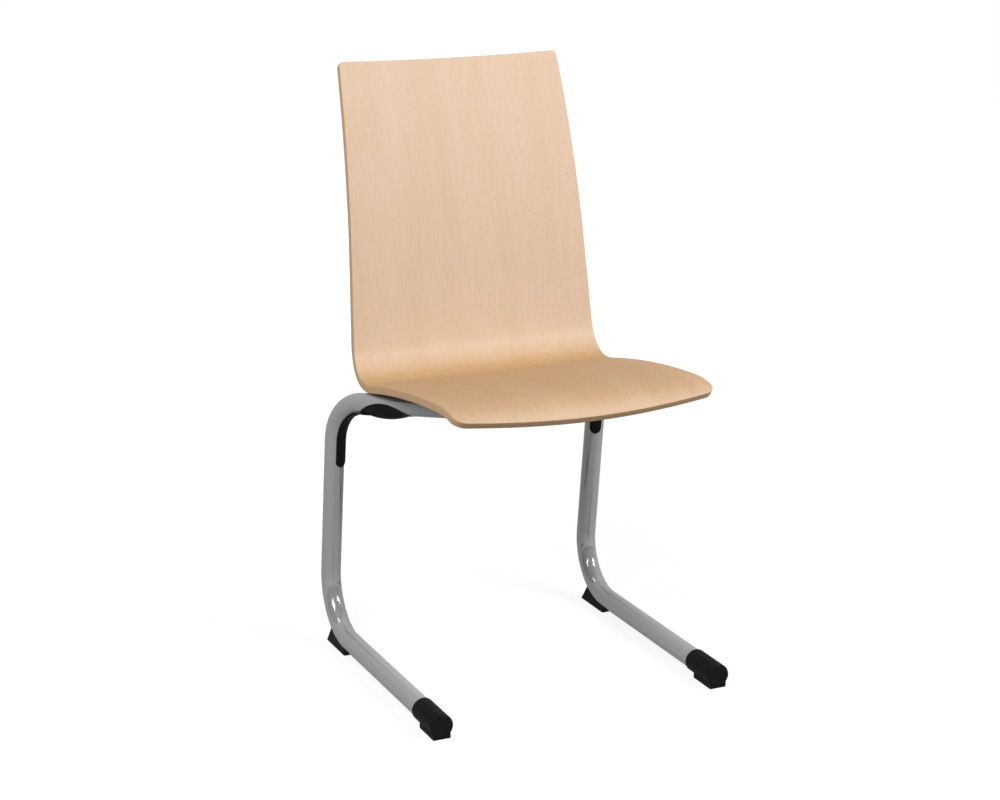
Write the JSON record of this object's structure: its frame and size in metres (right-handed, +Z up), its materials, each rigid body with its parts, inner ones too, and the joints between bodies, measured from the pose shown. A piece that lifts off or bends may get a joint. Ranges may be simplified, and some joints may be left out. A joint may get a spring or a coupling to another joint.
{
  "type": "shell chair",
  "caption": "Stackable school chair: one-piece moulded beech plywood seat and back on a C-shaped silver tube frame with black plastic glides and bend guards.",
  "frame": {"origin": "on the floor, midway between the two runners and midway between the foremost and rearmost points", "axes": "+Z up, -Y towards the front of the seat, -X towards the side that is on the left as one faces the chair"},
  "size_m": [0.4684, 0.4983, 0.8719],
  "materials": {
    "beech_plywood": "clear satin lacquer",
    "silver_paint": "silver-grey powder coat, semi-gloss",
    "black_plastic": "moulded, satin",
    "zinc_steel": "zinc plated",
    "brass": "turned"
  },
  "bodies": {
    "root": {"seat_shell": "beech_plywood", "left_side_tube": "silver_paint", "right_side_tube": "silver_paint", "seat_cross_tube": "silver_paint", "left_rear_seat_lug": "silver_paint", "right_rear_seat_lug": "silver_paint", "left_front_seat_lug": "silver_paint", "right_front_seat_lug": "silver_paint", "seat_spacer_pads": "black_plastic", "left_front_glide": "black_plastic", "right_front_glide": "black_plastic", "left_rear_glide": "black_plastic", "right_rear_glide": "black_plastic", "left_bend_guard": "black_plastic", "right_bend_guard": "black_plastic", "left_arm_plug": "black_plastic", "right_arm_plug": "black_plastic", "seat_washers": "zinc_steel", "seat_screws": "zinc_steel", "rear_glide_screws": "zinc_steel", "seat_inserts": "brass"}
  },
  "joints": []
}
